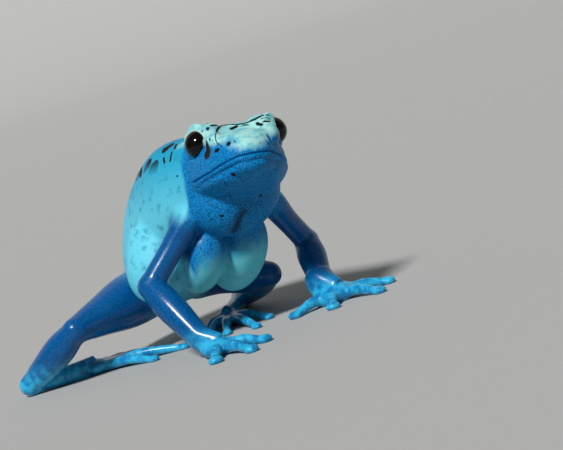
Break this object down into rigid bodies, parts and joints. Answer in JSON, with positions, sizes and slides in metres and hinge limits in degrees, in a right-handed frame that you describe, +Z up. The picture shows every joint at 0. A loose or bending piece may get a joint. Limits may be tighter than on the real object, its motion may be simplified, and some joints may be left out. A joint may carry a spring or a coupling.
{
  "type": "blue poison dart frog",
  "caption": "Life-size still model of a blue poison dart frog sitting upright on its bent hind legs and straight arms, head turned and tilted, with blue and turquoise skin and dark spots.",
  "frame": {"origin": "centre of the footprint's bounding box, on the floor that hands, feet and heels stand on", "axes": "+Z up, -Y the way the body faces, +X the frog's left; the head is turned and tilted to the frog's right"},
  "size_m": [0.045, 0.0408, 0.0285],
  "materials": {
    "back_skin": "moist light turquoise-blue skin with dark spots, satin",
    "head_skin": "moist blue skin with small dark spots, satin",
    "limb_skin": "wet deep blue skin, glossy",
    "digit_skin": "lighter blue skin of hands and feet, glossy",
    "eye": "wet black-brown eye, high gloss"
  },
  "bodies": {
    "root": {"torso": "back_skin", "head": "head_skin", "eye_right": "eye", "eye_left": "eye", "upper_arm_right": "limb_skin", "upper_arm_left": "limb_skin", "forearm_right": "limb_skin", "forearm_left": "limb_skin", "hand_right": "digit_skin", "hand_left": "digit_skin", "thigh_right": "limb_skin", "thigh_left": "limb_skin", "shank_right": "limb_skin", "shank_left": "limb_skin", "tarsus_right": "limb_skin", "tarsus_left": "limb_skin", "foot_right": "digit_skin", "foot_left": "digit_skin"}
  },
  "joints": []
}
